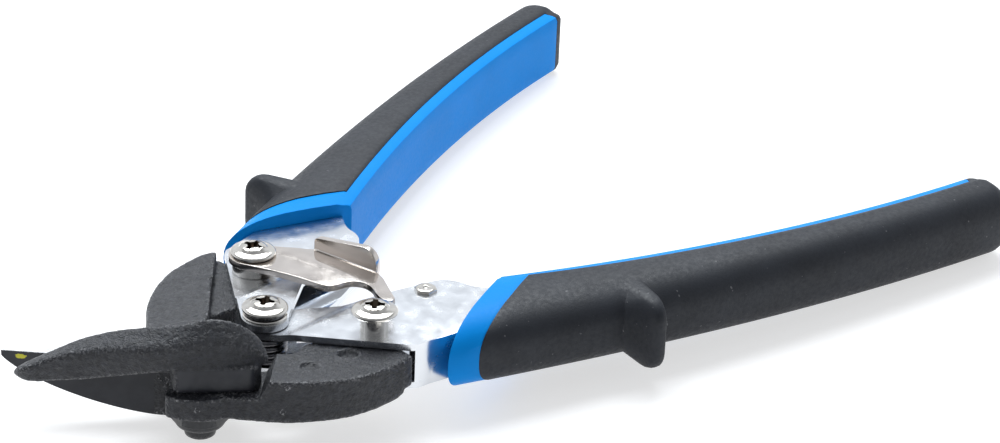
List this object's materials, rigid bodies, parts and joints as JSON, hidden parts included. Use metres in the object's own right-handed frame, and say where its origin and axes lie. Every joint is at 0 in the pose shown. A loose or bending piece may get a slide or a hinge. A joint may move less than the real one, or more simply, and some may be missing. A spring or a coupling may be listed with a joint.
{
  "type": "metal shear",
  "caption": "Compact compound-lever metal shear with winged jaws, sprung channel-steel handles with blue and black grips, and a thumb latch.",
  "frame": {"origin": "on the main pivot's axis, at the end face of its bolt", "axes": "+X along the centre line between the two handles, towards their ends; +Y towards the left handle, whose jaw is the upper one; +Z along the pivots"},
  "size_m": [0.2248, 0.1574, 0.0294],
  "materials": {
    "forged_black": "black phosphate over a rough forging",
    "plated_steel": "bright nickel plate",
    "fastener_nickel": "bright nickel plate",
    "fastener_black": "black oxide",
    "spring_steel": "oiled spring steel",
    "blue_plastic": "smooth satin moulding",
    "black_grip": "fine-grained soft moulding"
  },
  "bodies": {
    "lower_jaw": {"lower_jaw": "forged_black", "main_pivot_bolt": "fastener_black", "main_pivot_washer": "fastener_black", "main_pivot_nut": "fastener_black"},
    "upper_jaw": {"upper_jaw": "forged_black"},
    "left_handle": {"left_channel": "plated_steel", "left_grip_core": "blue_plastic", "left_grip_cover": "black_grip", "left_pivot_screw": "fastener_nickel", "left_pivot_nut": "fastener_nickel", "centre_pivot_screw": "fastener_nickel", "centre_pivot_nut": "fastener_nickel", "centre_flat_washer": "fastener_nickel", "centre_spring_washer": "fastener_nickel", "centre_bush": "fastener_nickel", "torsion_spring": "spring_steel", "latch_spacer": "fastener_nickel"},
    "right_handle": {"right_channel": "plated_steel", "right_grip_core": "blue_plastic", "right_grip_cover": "black_grip", "right_pivot_screw": "fastener_nickel", "right_pivot_nut": "fastener_nickel", "stop_rivet": "fastener_nickel"},
    "latch": {"latch": "plated_steel"}
  },
  "joints": [
    {"name": "jaw_pivot", "type": "hinge", "parent": "lower_jaw", "child": "upper_jaw", "pos_m": [0, 0, 0.0148], "axis": [0, 0, -1], "range_deg": [0, 15.6], "stiffness_Nm_per_rad": 0.4, "springref_deg": -57.3},
    {"name": "left_handle_pivot", "type": "hinge", "parent": "upper_jaw", "child": "left_handle", "pos_m": [0.0331, 0.0188, 0.0148], "axis": [0, 0, -1], "range_deg": [0, 8.6], "deforming": ["torsion_spring"]},
    {"name": "right_handle_pivot", "type": "hinge", "parent": "lower_jaw", "child": "right_handle", "pos_m": [0.0331, -0.0188, 0.0148], "axis": [0, 0, 1], "range_deg": [0, 8.6]},
    {"name": "latch_pivot", "type": "hinge", "parent": "left_handle", "child": "latch", "pos_m": [0.0331, 0.0188, 0.0148], "axis": [0, 0, 1], "range_deg": [0, 12.6]}
  ],
  "couplings": [
    {"joint": "left_handle_pivot", "follows": "jaw_pivot", "ratio": 0.54},
    {"joint": "right_handle_pivot", "follows": "jaw_pivot", "ratio": 0.54},
    {"joint": "latch_pivot", "follows": "jaw_pivot", "ratio": 0.8}
  ]
}
